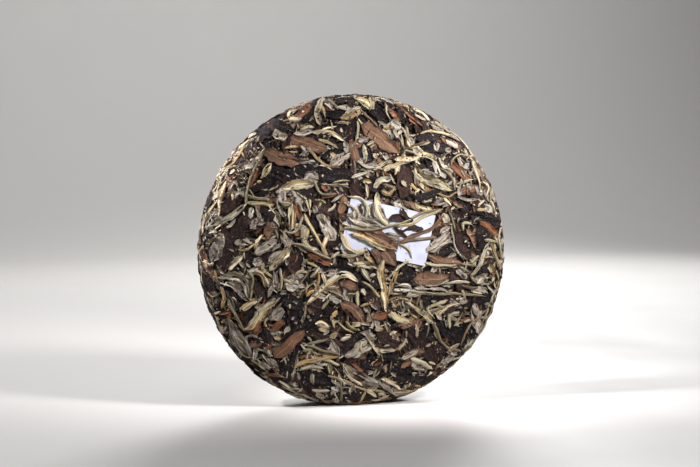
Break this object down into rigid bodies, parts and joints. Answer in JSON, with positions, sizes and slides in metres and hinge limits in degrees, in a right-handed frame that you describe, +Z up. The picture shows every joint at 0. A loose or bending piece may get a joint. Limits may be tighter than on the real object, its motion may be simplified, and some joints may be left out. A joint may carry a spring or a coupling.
{
  "type": "pressed tea cake",
  "caption": "Round cake of pressed white tea leaves, buds and stems, standing on its rim, with a blank paper ticket pressed into its face.",
  "frame": {"origin": "middle of the part's box, on the surface that the cake stands on", "axes": "+Z up, the disc in the XZ plane, the face with the ticket towards -Y, +Y through the thickness"},
  "size_m": [0.2018, 0.0354, 0.198],
  "materials": {
    "pressed_tea": "matte dry leaf, brown, black, olive and cream pieces pressed together",
    "ticket_paper": "matte thin paper, bluish white, blank"
  },
  "bodies": {
    "root": {"tea_cake": "pressed_tea", "paper_ticket": "ticket_paper"}
  },
  "joints": []
}
